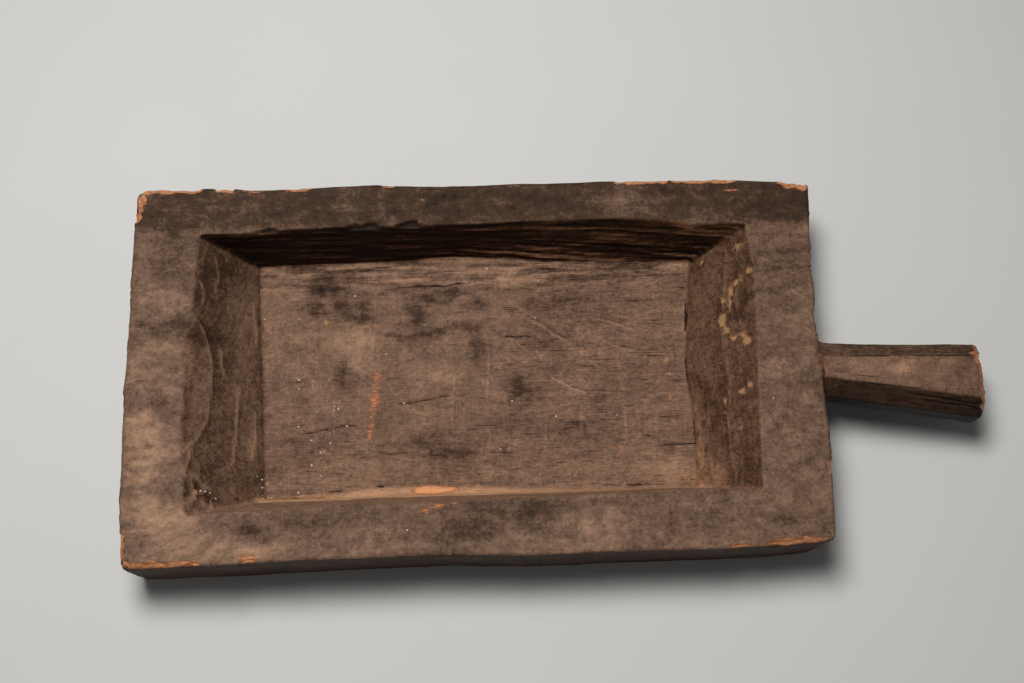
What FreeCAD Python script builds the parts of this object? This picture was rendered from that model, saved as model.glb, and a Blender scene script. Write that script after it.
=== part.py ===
"""A hewn feed scoop: a thick rectangular tray with a tapered hollow and a short faceted handle on its +X end.

The scoop is cut from one billet, with the grain along X. It is written as two nodes that meet face to face
where the grip leaves the tray's end: tray and handle. Millimetres, +Z up, +X towards the handle, and the
origin is at the centre of the tray's underside.
"""

import FreeCAD
import Part
import os

# --- tray block ---
tray_length = 460.0
tray_width = 254.0
tray_height = 72.0
corner_radius = 4.0  # the four upright corners, worn round
rim_wear_radius = 2.0  # the rim's outer edge
base_chamfer = 3.0  # the underside's edge

# --- hollow, measured from the block's faces ---
near_end_rim = 38.0  # rim left on the -X end, at the middle of that end
handle_end_rim = 42.5  # rim left on the +X end, at the middle of that end
front_rim = 35.5  # rim left on the -Y side
back_rim = 29.5  # rim left on the +Y side
floor_thickness = 26.0
near_end_wall_run = 43.5  # how far the -X wall slopes inwards on its way down
handle_end_wall_run = 38.0  # the same for the +X wall
side_wall_run = 11.5  # the same for the two long walls
opening_lean = 5.0  # at the rim, the hollow's front corners lie this much nearer to -X than its back ones
floor_spread = 4.0  # at the floor, each back corner lies this much further out along X than its front one
wall_corner_radius = 3.0  # upright corners of the hollow
floor_fillet = 2.5  # where the walls meet the floor

# --- handle ---
handle_length = 112.0
handle_drop = 2.5  # the grip's top facet at the root lies this much below the rim
handle_fall = 3.0  # and falls this much more by its end
root_width = 36.0
root_depth = 40.0
root_offset = -6.0  # the root's middle along Y
end_width = 50.0
end_depth = 46.0
end_offset = -16.0  # the free end's middle along Y
root_flare = 4.0  # how far the cove at the root stands out round the grip
flare_length = 6.0  # and how far along the grip it runs
handle_end_chamfer = 2.5

# Corner cuts of the grip's eight-sided section, each as (along Y, along Z).
root_cuts = {
    "back_top": (11.0, 10.0),
    "front_top": (15.0, 12.0),
    "front_low": (9.0, 12.0),
    "back_low": (9.0, 11.0),
}
end_cuts = {
    "back_top": (9.0, 9.0),
    "front_top": (10.0, 14.0),
    "front_low": (9.0, 12.0),
    "back_low": (10.0, 12.0),
}

# --- making ---
cutter_overrun = 10.0  # the hollow's cutter runs this far past the rim, its walls at the same slope
same_height = 0.01  # two points closer than this in Z lie at one height
cubic_mm_per_cubic_cm = 1000.0


def loft(sections):
    """A solid with ruled sides through polygons that have the same number of corners."""
    wires = [Part.makePolygon(list(section) + [section[0]]) for section in sections]
    return Part.makeLoft(wires, True, True)


def at_height(edge, z):
    """True for an edge whose ends both lie at height z."""
    return all(abs(v.Point.z - z) < same_height for v in edge.Vertexes)


def is_upright(edge):
    """True for an edge whose ends lie at different heights."""
    low, high = sorted(v.Point.z for v in edge.Vertexes)
    return high - low > same_height


def hollow():
    """The space cut from the block: four sloping walls down to a flat floor."""
    depth = tray_height - floor_thickness
    near = -tray_length / 2 + near_end_rim
    far = tray_length / 2 - handle_end_rim
    front = -tray_width / 2 + front_rim
    back = tray_width / 2 - back_rim

    def ring(share, z):
        """The hollow's outline at z, where share is 0 at the rim and 1 at the floor."""
        left = near + near_end_wall_run * share
        right = far - handle_end_wall_run * share
        low_y = front + side_wall_run * share
        high_y = back - side_wall_run * share
        lean = opening_lean * (1 - share) / 2
        spread = floor_spread * share / 2
        return [
            FreeCAD.Vector(left - lean + spread, low_y, z),
            FreeCAD.Vector(right - lean - spread, low_y, z),
            FreeCAD.Vector(right + lean + spread, high_y, z),
            FreeCAD.Vector(left + lean - spread, high_y, z),
        ]

    at_floor = ring(1.0, floor_thickness)
    past_rim = ring(-cutter_overrun / depth, tray_height + cutter_overrun)
    cutter = loft([at_floor, past_rim])
    cutter = cutter.makeFillet(wall_corner_radius, [e for e in cutter.Edges if is_upright(e)])
    return cutter.makeFillet(floor_fillet, [e for e in cutter.Edges if at_height(e, floor_thickness)])


def tray():
    """The block with worn edges, less the hollow."""
    corner = FreeCAD.Vector(-tray_length / 2, -tray_width / 2, 0)
    block = Part.makeBox(tray_length, tray_width, tray_height, corner)
    block = block.makeFillet(corner_radius, [e for e in block.Edges if is_upright(e)])
    block = block.makeFillet(rim_wear_radius, [e for e in block.Edges if at_height(e, tray_height)])
    block = block.makeChamfer(base_chamfer, [e for e in block.Edges if at_height(e, 0)])
    return block.cut(hollow())


def mixed(a, b, share):
    """Part of the way from a to b."""
    return a + (b - a) * share


def grip_section(x, flare=0.0, inset=0.0):
    """The grip's eight corners in the plane at x, going round from the top facet's back corner. flare moves
    all sides but the top one outwards, and inset moves every side inwards."""
    share = (x - tray_length / 2) / handle_length
    middle = mixed(root_offset, end_offset, share)
    width = mixed(root_width, end_width, share)
    depth = mixed(root_depth, end_depth, share)
    level = tray_height - handle_drop - handle_fall * share
    top = level - inset
    low = level - depth - flare + inset
    back = middle + width / 2 + flare - inset
    front = middle - width / 2 - flare + inset

    def cut(name):
        """How far the named corner cut reaches along Y and Z at this section."""
        return [mixed(at_root, at_end, share) for at_root, at_end in zip(root_cuts[name], end_cuts[name])]

    back_top_y, back_top_z = cut("back_top")
    front_top_y, front_top_z = cut("front_top")
    front_low_y, front_low_z = cut("front_low")
    back_low_y, back_low_z = cut("back_low")
    corners = [
        (back - back_top_y, top),
        (front + front_top_y, top),
        (front, top - front_top_z),
        (front, low + front_low_z),
        (front + front_low_y, low),
        (back - back_low_y, low),
        (back, low + back_low_z),
        (back, top - back_top_z),
    ]
    return [FreeCAD.Vector(x, y, z) for y, z in corners]


def handle():
    """The grip: a cove at the root, then eight facets that widen to a free end with a cut edge."""
    root_x = tray_length / 2
    end_x = root_x + handle_length
    return loft(
        [
            grip_section(root_x, flare=root_flare),
            grip_section(root_x + flare_length),
            grip_section(end_x - handle_end_chamfer),
            grip_section(end_x, inset=handle_end_chamfer),
        ]
    )


def main():
    """Build each node, print what it came to and write its STEP file."""
    os.makedirs("parts", exist_ok=True)
    for name, make in (("tray", tray), ("handle", handle)):
        shape = make()
        volume = round(shape.Volume / cubic_mm_per_cubic_cm, 1)
        print(f"{name}: {len(shape.Solids)} solid, valid {shape.isValid()}, {volume} cm3")
        shape.exportStep(f"parts/{name}.step")


main()
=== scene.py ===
"""Feed scoop: a tray hewn from one billet, with a faceted grip, dark with age and handling.

The tray and the grip are each one closed skin. A skin is a grid of points worked out from the block's sizes,
then moved by the marks of the tools and of use: hewn facets, splinters, cracks and chips. Lengths inside the
shape functions are millimetres, and turn to metres when a mesh is made.
"""

import itertools
import math

import bpy
import numpy as np
from bpy.props import FloatProperty, FloatVectorProperty, PointerProperty
from mathutils import Matrix, Vector


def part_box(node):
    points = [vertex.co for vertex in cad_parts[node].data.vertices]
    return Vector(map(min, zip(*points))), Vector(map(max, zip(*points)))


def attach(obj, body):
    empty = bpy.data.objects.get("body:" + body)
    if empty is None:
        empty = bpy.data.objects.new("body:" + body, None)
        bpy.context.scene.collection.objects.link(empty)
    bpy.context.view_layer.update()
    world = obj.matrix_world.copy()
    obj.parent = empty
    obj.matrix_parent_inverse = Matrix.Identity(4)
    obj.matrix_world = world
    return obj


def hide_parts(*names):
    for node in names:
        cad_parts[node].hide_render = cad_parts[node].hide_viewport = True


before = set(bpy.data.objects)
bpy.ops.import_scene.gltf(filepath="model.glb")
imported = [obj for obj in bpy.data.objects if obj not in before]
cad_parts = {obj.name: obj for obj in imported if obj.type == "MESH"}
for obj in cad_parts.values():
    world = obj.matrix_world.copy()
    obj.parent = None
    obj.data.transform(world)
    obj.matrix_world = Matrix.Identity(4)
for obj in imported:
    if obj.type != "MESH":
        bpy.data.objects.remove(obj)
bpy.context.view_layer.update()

bl_info = {
    "name": "Feed scoop",
    "version": (1, 0, 0),
    "blender": (4, 5, 0),
    "location": "View3D > Sidebar > Feed scoop",
    "description": "Makes a hewn wooden feed scoop and the stage that it lies on",
    "category": "Add Mesh",
}

TRAY_LOW, TRAY_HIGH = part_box("tray")
GRIP_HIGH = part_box("handle")[1]
MM = 0.001

# --- how finely the skins are drawn ---
LONG_SEGMENTS = 220  # along each long side, from corner to corner
END_SEGMENTS = 172  # along each end side
CORNER_STEPS = 4
COARSE_STEP = 4  # the underside is drawn this many times coarser
CHAMFER_ROWS = 2
OUTER_WALL_ROWS = 12
EDGE_ROWS = 4
RIM_ROWS = 22
INNER_WALL_ROWS = 30
FILLET_ROWS = 3
GRIP_FACET_POINTS = 21
GRIP_ROWS = 118
GRIP_END_RINGS = 14
RIM_CROWDING = 0.5  # the rim's rings lie closer together towards its two edges, where it is chipped


# --- shape helpers: plain functions of whole arrays, in millimetres -----------------------------------------


def ease(t):
    """3t^2 - 2t^3, for t held between 0 and 1: starts and stops gently."""
    t = np.clip(t, 0.0, 1.0)
    return t * t * (3.0 - 2.0 * t)


def noise(points, size, seed):
    """Smooth noise from -1 to 1. Space is cut into cells of the given size along each axis, every cell corner
    gets a number mixed from its three indices and the seed, and a point takes the eight corners of its cell,
    each weighted by the product of ease(share) or 1 - ease(share) along the axes."""
    cell = np.asarray(points) / np.asarray(size, float)
    base = np.floor(cell).astype(np.int64)
    share = ease(cell - base)
    total = np.zeros(len(cell))
    for corner in itertools.product((0, 1), repeat=3):
        x, y, z = (base + corner).T
        mixed = (x * 374761393 + y * 668265263 + z * 1442695041 + seed * 974634777) & 0xFFFFFFFF
        mixed = ((mixed ^ (mixed >> 13)) * 1274126177) & 0xFFFFFFFF
        mixed = mixed ^ (mixed >> 16)
        weight = np.prod(np.where(corner, share, 1.0 - share), axis=1)
        total += weight * (mixed / 0x7FFFFFFF - 1.0)
    return total


def rough(points, size, seed, octaves=3):
    """Noise added up over octaves, each half as large in cell and in strength as the one before."""
    size = np.asarray(size, float)
    return sum(noise(points, size / 2**k, seed + k) / 2**k for k in range(octaves))


def through(places, values, at):
    """A smooth run through values set at places, eased from each one to the next."""
    places = np.asarray(places, float)
    values = np.asarray(values, float)
    k = np.clip(np.searchsorted(places, at) - 1, 0, len(places) - 2)
    share = ease((at - places[k]) / (places[k + 1] - places[k]))
    return values[k] + (values[k + 1] - values[k]) * share


def strayed(points, size, reach, seed):
    """Points moved sideways by noise, so that a shape drawn at them gets a wandering edge."""
    aside = [rough(points, size, seed), rough(points, size, seed + 7), np.zeros(len(points))]
    return points + reach * np.column_stack(aside)


def blot(points, centre, radii):
    """A soft spot: exp(-d^2), where d is the distance from the centre counted in radii along each axis."""
    return np.exp(-np.sum(((points - np.asarray(centre)) / np.asarray(radii)) ** 2, axis=1))


# --- the tray's outlines ------------------------------------------------------------------------------------

# How far each side of an outline stands outside its true line, as (place along the side, how far), in the
# order front, far end, back, near end. Places are along X on the long sides and along Y on the ends.
HEWN = {
    "block": [
        [(-230, 1.3), (-160, 1.0), (-112, -0.5), (-42, -1.9), (45, 0.2), (95, -0.7), (150, -0.4), (190, -1.3),
         (230, -4)],
        [(-127, -0.6), (-96, 0.3), (-70, 1.6), (-40, 1.4), (10, -0.3), (29, -2.2), (46, 0.1), (60, -0.9),
         (127, 1.9)],
        [(-230, 0.2), (-209, 0.8), (-165, 0.2), (-150, -1.8), (-78, 0.6), (-5, -1.3), (40, 0), (150, 0.7),
         (230, -2.2)],
        [(-127, 1.4), (-70, 2.3), (-20, 2.2), (15, 0.8), (60, -0.4), (127, -1.3)],
    ],
    "opening": [
        [(-190, 5), (-172, 3), (-115, 2), (-92, -0.3), (-30, 0.8), (25, -1.3), (110, -2.2), (140, -4),
         (187, -2.6)],
        [(-92, 0), (-25, 0.3), (20, 1.0), (55, 1.0), (80, -1.4), (97, -3.6)],
        [(-190, -2.6), (-160, -2.6), (-120, -0.3), (-80, 0.6), (0, 1.0), (50, 2.5), (100, 2.9), (130, 1.4),
         (160, -2)],
        [(-97, -3), (-80, -2.2), (-60, 0.6), (-45, 2.4), (-25, 1.1), (15, 2.2), (36, -1), (60, -2.4),
         (97, -4)],
    ],
    "floor": [
        [(-147, 0.8), (-98, 1.3), (-60, 0.3), (75, 0.4), (148, -0.4)],
        [(-80, 1.6), (-58, 1.0), (-32, 0.3), (8, -3.4), (40, -1.5), (80, 1.6)],
        [(-151, -0.8), (-100, 0), (-60, 1.0), (-10, 3.2), (20, 1.6), (50, -0.8), (95, -2.0), (151, -3.8)],
        [(-80, -0.8), (0, -0.4), (86, 0.5)],
    ],
}
OUTWARD = np.array([(0, -1), (1, 0), (0, 1), (-1, 0)])  # of the four sides, in the same order


def outline(rectangle, radius, hewn, inset=0.0):
    """One closed outline, counter-clockwise seen from above, from the middle of the front near corner.

    Each side runs straight between its corners, moved outwards by a smooth run through its HEWN values, and
    each corner is a quarter arc."""

    def stand_off(side, points):
        """How far a side stands outside its true line, next to the given points."""
        places, values = zip(*HEWN[hewn][side])
        return through(places, values, np.asarray(points)[..., side % 2])

    true_corners = np.array(rectangle, float)
    corners = true_corners.copy()
    for k in range(4):
        for side in (k, k - 1):
            corners[k] += OUTWARD[side] * stand_off(side, true_corners[k])
    corners -= inset * np.sign(corners - corners.mean(axis=0))
    radius = max(radius - inset, 0.5)
    pieces = []
    for side in range(4):
        a, b, c = (corners[(side + k) % 4] for k in range(3))
        run = (b - a) / np.linalg.norm(b - a)
        next_run = (c - b) / np.linalg.norm(c - b)
        out = np.array([run[1], -run[0]])
        segments = LONG_SEGMENTS if side % 2 == 0 else END_SEGMENTS
        t = np.linspace(0.0, 1.0, segments - CORNER_STEPS + 1)
        line = a + run * radius + np.outer(t, b - a - 2 * run * radius)
        bulge = stand_off(side, line)
        bulge -= bulge[0] * (1 - t) + bulge[-1] * t
        pieces.append(line + np.outer(bulge, out))
        centre = b + (next_run - run) * radius
        angle = np.linspace(0.0, math.pi / 2, CORNER_STEPS + 1)[1:-1]
        pieces.append(centre + radius * (np.outer(np.cos(angle), out) + np.outer(np.sin(angle), run)))
    return np.roll(np.concatenate(pieces), CORNER_STEPS // 2, axis=0)


def tray_outlines(sizes):
    """The rectangles of the block, the opening at the rim and the floor, each as four corners."""
    low_x, low_y = TRAY_LOW.x / MM, TRAY_LOW.y / MM
    high_x, high_y = TRAY_HIGH.x / MM, TRAY_HIGH.y / MM
    block = [(low_x, low_y), (high_x, low_y), (high_x, high_y), (low_x, high_y)]
    near = low_x + sizes.near_end_rim / MM
    far = high_x - sizes.handle_end_rim / MM
    front = low_y + sizes.front_rim / MM
    back = high_y - sizes.back_rim / MM
    lean = sizes.opening_lean / MM / 2
    opening = [(near - lean, front), (far - lean, front), (far + lean, back), (near + lean, back)]
    near += sizes.near_end_wall_run / MM
    far -= sizes.handle_end_wall_run / MM
    front += sizes.side_wall_run / MM
    back -= sizes.side_wall_run / MM
    spread = sizes.floor_spread / MM / 2
    floor = [(near + spread, front), (far - spread, front), (far + spread, back), (near - spread, back)]
    return block, opening, floor


# --- the tray's skin ----------------------------------------------------------------------------------------


def level(loop, z):
    """An outline's points lifted to height z."""
    return np.column_stack([loop, np.full(len(loop), z)])


def between(a, b, count, crowding=0.0):
    """The rings from ring a to ring b, with b and without a: t - crowding * sin(2 pi t) / 2 pi of the way, so
    that crowding above 0 brings them closer together at both ends."""
    t = np.linspace(0.0, 1.0, count + 1)[1:, None, None]
    return a + (b - a) * (t - crowding * np.sin(2 * math.pi * t) / (2 * math.pi))


def tray_rings(sizes):
    """The rings of the tray's skin, from the underside's edge up the sides, over the rim and down to the
    floor, with the name of the surface that each ring lies on."""
    block, opening, floor = tray_outlines(sizes)
    top = TRAY_HIGH.z / MM
    bottom = sizes.floor_thickness / MM
    wear = sizes.edge_wear / MM
    fillet = sizes.floor_fillet / MM
    chamfer = sizes.base_chamfer / MM

    def block_ring(inset, z):
        """The block's outline at height z, drawn in by inset."""
        return level(outline(block, sizes.corner_radius / MM, "block", inset), z)

    def floor_ring(inset, z):
        """The floor's outline at height z, drawn in by inset."""
        return level(outline(floor, sizes.wall_corner_radius / MM, "floor", inset), z)

    def opening_ring(inset, z):
        """The opening's outline at height z, drawn in by inset."""
        return level(outline(opening, sizes.wall_corner_radius / MM, "opening", inset), z)

    rings = [block_ring(chamfer, 0.0)[None]]
    surfaces = ["base"]

    def lay(surface, rows):
        """Adds rows of rings that lie on the named surface."""
        rings.append(rows)
        surfaces.extend([surface] * len(rows))

    lay("base", between(rings[-1][-1], block_ring(0.0, chamfer), CHAMFER_ROWS))
    lay("side", between(rings[-1][-1], block_ring(0.0, top - wear), OUTER_WALL_ROWS))
    for turn in np.linspace(0.0, math.pi / 2, EDGE_ROWS + 1)[1:]:
        inset = wear * (1 - math.cos(turn))
        lay("edge", block_ring(inset, top - wear * (1 - math.sin(turn)))[None])
    lay("rim", between(rings[-1][-1], opening_ring(0.0, top), RIM_ROWS, RIM_CROWDING))
    lip = opening_ring(sizes.lip_wear / MM / 2, top - sizes.lip_wear / MM)
    lay("wall", between(lip, floor_ring(0.0, bottom + fillet), INNER_WALL_ROWS))
    for turn in np.linspace(0.0, math.pi / 2, FILLET_ROWS + 1)[1:]:
        inset = fillet * (1 - math.cos(turn))
        lay("foot", floor_ring(inset, bottom + fillet * (1 - math.sin(turn)))[None])
    return np.concatenate(rings), surfaces


def patch(loop, long_segments, end_segments):
    """The points inside a four-sided loop, and the grid of the indices of all its points, where the loop's
    own points count from 0 and the inner ones follow them.

    A transfinite patch: the blend of the front and back edges, plus the blend of the two end edges, less the
    blend of the four corners."""
    ids = np.empty((end_segments + 1, long_segments + 1), int)
    corner = np.cumsum([0, long_segments, end_segments, long_segments])
    ids[0] = corner[0] + np.arange(long_segments + 1)
    ids[:, -1] = corner[1] + np.arange(end_segments + 1)
    ids[-1, ::-1] = corner[2] + np.arange(long_segments + 1)
    ids[::-1, 0] = (corner[3] + np.arange(end_segments + 1)) % len(loop)
    ids[1:-1, 1:-1] = len(loop) + np.arange(ids[1:-1, 1:-1].size).reshape(ids[1:-1, 1:-1].shape)
    front, back, near, far = loop[ids[0]], loop[ids[-1]], loop[ids[:, 0]], loop[ids[:, -1]]
    u = np.linspace(0.0, 1.0, long_segments + 1)[None, :, None]
    v = np.linspace(0.0, 1.0, end_segments + 1)[:, None, None]
    edges = front[None] * (1 - v) + back[None] * v + near[:, None] * (1 - u) + far[:, None] * u
    corners = (front[0] * (1 - u) + front[-1] * u) * (1 - v) + (back[0] * (1 - u) + back[-1] * u) * v
    return (edges - corners)[1:-1, 1:-1].reshape(-1, 3), ids


def quads(ids):
    """The four-sided faces of a grid of point indices."""
    return np.stack([ids[:-1, :-1], ids[:-1, 1:], ids[1:, 1:], ids[1:, :-1]], axis=-1).reshape(-1, 4)


def fan(fine, coarse):
    """The three-sided faces between a closed ring of points and one with COARSE_STEP times fewer: each coarse
    point takes the fine segments nearest to it, and each pair of coarse points closes on the fine point
    half-way between them."""
    half = COARSE_STEP // 2
    start = np.arange(len(coarse)) * COARSE_STEP
    faces = []
    for k in range(-half, half):
        a, b = fine[(start + k) % len(fine)], fine[(start + k + 1) % len(fine)]
        faces.append(np.column_stack([a, coarse, b]))
    faces.append(np.column_stack([fine[start + half], coarse, np.roll(coarse, -1)]))
    return np.concatenate(faces)


def tray_skin(sizes):
    """The tray's points, the name of the surface that each point lies on, its four-sided faces and its
    three-sided ones. The floor closes the skin inside, and a coarser patch closes it underneath."""
    rings, names = tray_rings(sizes)
    rows, columns = rings.shape[:2]
    ring_ids = np.arange(rows * columns).reshape(rows, columns)
    walls = quads(np.hstack([ring_ids, ring_ids[:, :1]]))
    surface = np.repeat(names, columns)

    floor, floor_ids = patch(rings[-1], LONG_SEGMENTS, END_SEGMENTS)
    start = rows * columns
    floor_faces = quads(np.concatenate([ring_ids[-1], start + np.arange(len(floor))])[floor_ids])

    block = tray_outlines(sizes)[0]
    inset = sizes.base_chamfer / MM + sizes.underside_margin / MM
    loop = level(outline(block, sizes.corner_radius / MM, "block", inset), 0.0)[::COARSE_STEP]
    under, under_ids = patch(loop, LONG_SEGMENTS // COARSE_STEP, END_SEGMENTS // COARSE_STEP)
    start += len(floor)
    loop_ids = start + np.arange(len(loop))
    under_faces = quads((start + np.arange(len(loop) + len(under)))[under_ids])[:, ::-1]

    points = np.concatenate([rings.reshape(-1, 3), floor, loop, under])
    below = len(loop) + len(under)
    surface = np.concatenate([surface, np.full(len(floor), "floor"), np.full(below, "under")])
    return points, surface, np.concatenate([walls, floor_faces, under_faces]), fan(ring_ids[0], loop_ids)


# --- marks of the tools and of use --------------------------------------------------------------------------

ALONG_X, ALONG_Y = (1.0, 0.0, 0.0), (0.0, 1.0, 0.0)
CHIP_REACH = 12.0  # a chip takes nothing further than this from its spot
LEDGE_REACH = 13.0  # a ledge's step fades away over this height above its line
LEDGE_SLOPE = 1.7  # and comes up to its full height over this much
HOLLOW_REACH = 5.0  # the hollow under a ledge fades away over this height below its line
BANK_WIDTH, BANK_RISE = 5.0, 2.6  # of the narrow bank along the floor's front edge


def seam(points, route, width, seed, along=0):
    """How deep in a crack each point lies, from 0 at its lips to 1 at its middle. The crack follows the
    route's points, which go up along X (along = 0) or Y (along = 1), wavers by a little noise, and tapers
    towards both ends."""
    places, values = np.transpose(np.asarray(route, float))
    inside = np.zeros(len(points))
    forward, aside = points[:, along], points[:, 1 - along]
    near = np.flatnonzero(
        (forward > places[0])
        & (forward < places[-1])
        & (aside > values.min() - 3 * width)
        & (aside < values.max() + 3 * width)
    )
    if len(near) == 0:
        return inside
    on_line = np.column_stack([forward[near], np.zeros(len(near)), np.zeros(len(near))])
    line = np.interp(forward[near], places, values) + 0.7 * rough(on_line, (11.0, 1.0, 1.0), seed, 2)
    reach = (forward[near] - places[0]) * (places[-1] - forward[near]) / (0.5 * (places[-1] - places[0])) ** 2
    reach = np.sqrt(np.clip(reach, 0.0, 1.0)) * (0.95 + 0.3 * noise(on_line, (5.0, 1.0, 1.0), seed + 1))
    inside[near] = np.clip(1.0 - np.abs(aside[near] - line) / np.maximum(width * reach, 1e-6), 0.0, 1.0)
    return inside


def chip(points, spot, outward, run, half, bite, seed):
    """How far a chip takes each point back along outward. Points beyond a torn plane that lies `bite` below
    the spot come back to it, inside a window that closes at half the chip's length along its run."""
    outward = np.asarray(outward, float) / np.linalg.norm(outward)
    offset = points - np.asarray(spot, float)
    along = offset @ np.asarray(run, float)
    across = np.linalg.norm(offset - np.outer(along, run), axis=1)
    cut = np.zeros(len(points))
    near = np.flatnonzero((np.abs(along) < half) & (across < CHIP_REACH))
    if len(near):
        window = ease(3.5 * (1.0 - np.abs(along[near]) / half))
        torn = bite * window * (1.0 + 0.32 * rough(points[near], (6.0, 2.5, 2.5), seed))
        cut[near] = np.clip(offset[near] @ outward + torn, 0.0, None) * (window > 0)
    return cut


def ledges(heights, along, lines):
    """The steps left between one stroke of the gouge and the next, and where light and shade are painted on
    them. Above each line the face stands proud by the step's height, which fades away over LEDGE_REACH, and
    below it the next stroke starts in a hollow. The second and third results say where a painted highlight
    goes along the burr of each crest and where painted shade goes in each hollow. Each line is (places,
    heights, step)."""
    total = np.zeros(len(heights))
    crest_highlight = np.zeros(len(heights))
    hollow = np.zeros(len(heights))
    for places, levels, step in lines:
        gap = heights - np.interp(along, places, levels)
        window = ease((along - places[0]) / 7.0) * ease((places[-1] - along) / 7.0)
        above, below = np.clip(gap, 0.0, None), np.clip(-gap, 0.0, None)
        proud = ease(gap / LEDGE_SLOPE + 0.5) * np.exp(-above / LEDGE_REACH)
        total += step * window * (proud - 0.35 * np.exp(-below / HOLLOW_REACH))
        crest_highlight = np.maximum(crest_highlight, window * np.exp(-(((gap - 0.9) / 1.0) ** 2)))
        hollow = np.maximum(hollow, window * np.exp(-below / HOLLOW_REACH) * (gap < 0))
    return total, crest_highlight, hollow


# Lines of the near end's wall, each as (places along Y, heights there, how high the step is).
NEAR_WALL_LINES = [
    (
        (-76, -68, -60, -52, -45, -38, -32, -20, 2, 10, 20, 29, 38),
        (72, 69, 67, 65, 62, 59.5, 58, 57, 56, 56, 58, 62, 68),
        2.3,
    ),
    ((-64, -57, -50, -38, -22, 0), (46.5, 44, 43, 42, 41.5, 41), 1.4),
    ((-58, -40, -18), (34, 32, 31.5), 0.7),
    ((-4, 8, 16, 26), (47, 50, 50.5, 52.5), 1.1),
    ((-57, -50, -42), (71.5, 67, 60), 0.9),
    ((44, 52, 60, 66), (66, 64, 66, 70), 0.9),
    ((54, 70, 86), (58, 56, 60), 0.8),
    ((22, 38, 60), (30.5, 31, 32), 0.5),
]
FAR_WALL_LINES = [
    ((-84, -50, -10, 30, 84), (54, 50, 53, 49, 55), 0.5),
    ((-84, -60, -40, -20), (40, 37, 36, 39), 0.7),
    ((20, 44, 70), (62, 58, 64), 0.5),
]

# Cracks of the floor that were placed one by one, each as (route, half its width, depth).
FLOOR_CRACKS = [
    ([(-57, 67), (-47, 68.5), (-20, 69), (2, 71)], 1.1, 2.2),
    ([(-98, 80.5), (-78, 81.5), (-54, 84)], 1.0, 1.8),
    ([(-34, 77.5), (-20, 78.5)], 0.9, 1.2),
    ([(2, 72.5), (16, 70.5), (26, 69)], 0.9, 1.0),
    ([(33, 86.5), (45, 85.5), (62, 84)], 1.2, 2.0),
    ([(66, 71.5), (98, 71)], 0.9, 0.7),
    ([(-122, -36.5), (-104, -33), (-94, -31.5), (-81, -30)], 1.1, 1.5),
    ([(-59, -16.5), (-38, -14), (-28, -12.5), (-12, -10)], 1.1, 1.5),
    ([(-132, -10.5), (-112, -9.5), (-80, -6.5)], 1.0, 0.8),
    ([(-82, -34), (-56, -31.5)], 0.9, 0.6),
    ([(124, -49.5), (136, -49), (151, -48)], 1.1, 2.0),
    ([(100, -76), (118, -76)], 1.2, 1.5),
    ([(-140, 57), (-128, 58.5), (-106, 60)], 0.9, 0.9),
    ([(20, 30.5), (26, 29.8), (41, 30.5)], 1.2, 1.6),
    ([(36, 43.5), (49, 43.5)], 1.0, 1.1),
    ([(119, 34), (136, 34)], 0.9, 1.0),
    ([(108, 19.5), (122, 19.5), (134, 20.5)], 1.0, 1.0),
    ([(74, 14.5), (86, 15)], 1.0, 1.1),
    ([(-103, -76), (-92, -75)], 1.2, 1.2),
    ([(-70, -72.5), (-64, -72)], 1.6, 1.5),
    ([(-30, -74.5), (-8, -74)], 0.9, 1.0),
    ([(4, 3), (26, 4), (38, 3)], 0.8, 0.5),
    ([(-60, 19), (-38, 22), (-18, 22.5)], 0.8, 0.5),
]
SMALL_CRACKS = 64
# Scratches that run across the floor's grain, each as (route, half its width).
SCRATCHES = [
    ([(33, 45), (47, 38), (59, 29), (71, 21), (78, 13), (88, 5)], 1.5),
    ([(84, 43), (101, 38), (112, 31)], 1.1),
    ([(82, 30), (97, 22), (110, 19)], 1.1),
    ([(21, 31), (26, 28), (34, 21), (43, 13)], 1.1),
    ([(50, 1), (62, -5), (80, -14)], 1.1),
]
# Curved cuts of the gouge on the floor, each as a route that goes up along Y.
GOUGE_CUTS = [
    ([(-62, 43), (-48, 47), (-36, 46), (-24, 49)], 1.3),
    ([(-42, 70), (-24, 71)], 2.4),
    ([(-60, 92), (-46, 101), (-22, 101)], 1.2),
    ([(-20, 6), (4, 8), (28, 8), (35, 4)], 1.3),
    ([(-36, -18), (-4, -17), (6, -14)], 1.0),
    ([(2, -73), (26, -72), (40, -74)], 1.0),
    ([(-66, -106), (-58, -104), (-50, -108)], 1.0),
]
# The open gap at the foot of the far end's wall, as routes that go up along Y, with half its width.
FOOT_GAPS = [
    ([(-57, 151.5), (-46, 149.5), (-36, 149.5), (-24, 150.5), (-12, 151), (0, 149.5)], 1.3),
    ([(-9, 147.5), (1, 146.5), (14, 145.5)], 1.1),
    ([(-80, 152), (-60, 150.5)], 1.0),
    ([(30, 147.5), (52, 149)], 0.9),
]
RIM_CRACKS = [
    ([(-232, 99.5), (-218, 100), (-205, 96.5), (-193, 99.5), (-182, 99.5), (-178, 95)], 1.4, 0.9),
    ([(154, 74.5), (172, 73), (184, 69), (190, 65), (200, 63.5), (212, 62), (234, 62.5)], 1.5, 1.3),
    ([(-96, 118), (-80, 119)], 1.1, 0.5),
]

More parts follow.
